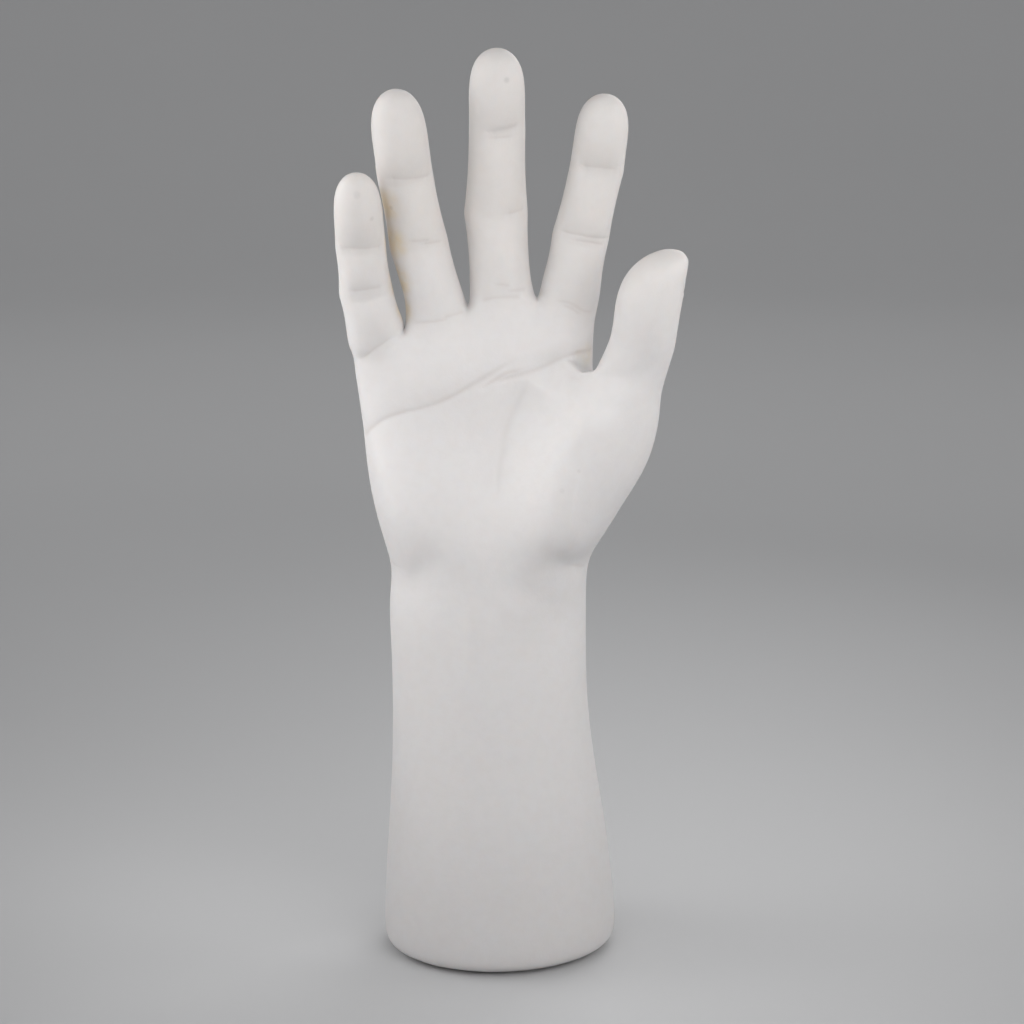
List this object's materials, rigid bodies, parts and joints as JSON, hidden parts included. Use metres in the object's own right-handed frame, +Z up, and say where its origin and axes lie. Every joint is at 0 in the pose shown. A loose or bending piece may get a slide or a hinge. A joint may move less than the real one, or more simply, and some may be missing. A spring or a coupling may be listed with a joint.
{
  "type": "display mannequin hand",
  "caption": "Life-size display mannequin hand: an open right hand and forearm moulded in matt off-white vinyl, standing upright on its closed foot.",
  "frame": {"origin": "on the standing surface, under the centre of the whole hand's bounding box", "axes": "+Z up along the forearm to the fingertips, -Y the way the palm faces, +X to the thumb's side"},
  "size_m": [0.1212, 0.0806, 0.3298],
  "materials": {
    "vinyl_skin": "matt off-white soft vinyl, smooth with moulded skin lines",
    "bung_plastic": "matt off-white moulded plastic",
    "sand": "loose dry sand"
  },
  "bodies": {
    "hand": {"hand_shell": "vinyl_skin", "sand_ballast": "sand"},
    "bung": {"base_bung": "bung_plastic"}
  },
  "joints": [
    {"name": "bung_pull", "type": "slide", "parent": "hand", "child": "bung", "axis": [0, 0, -1], "range_m": [0, 0.022]}
  ]
}
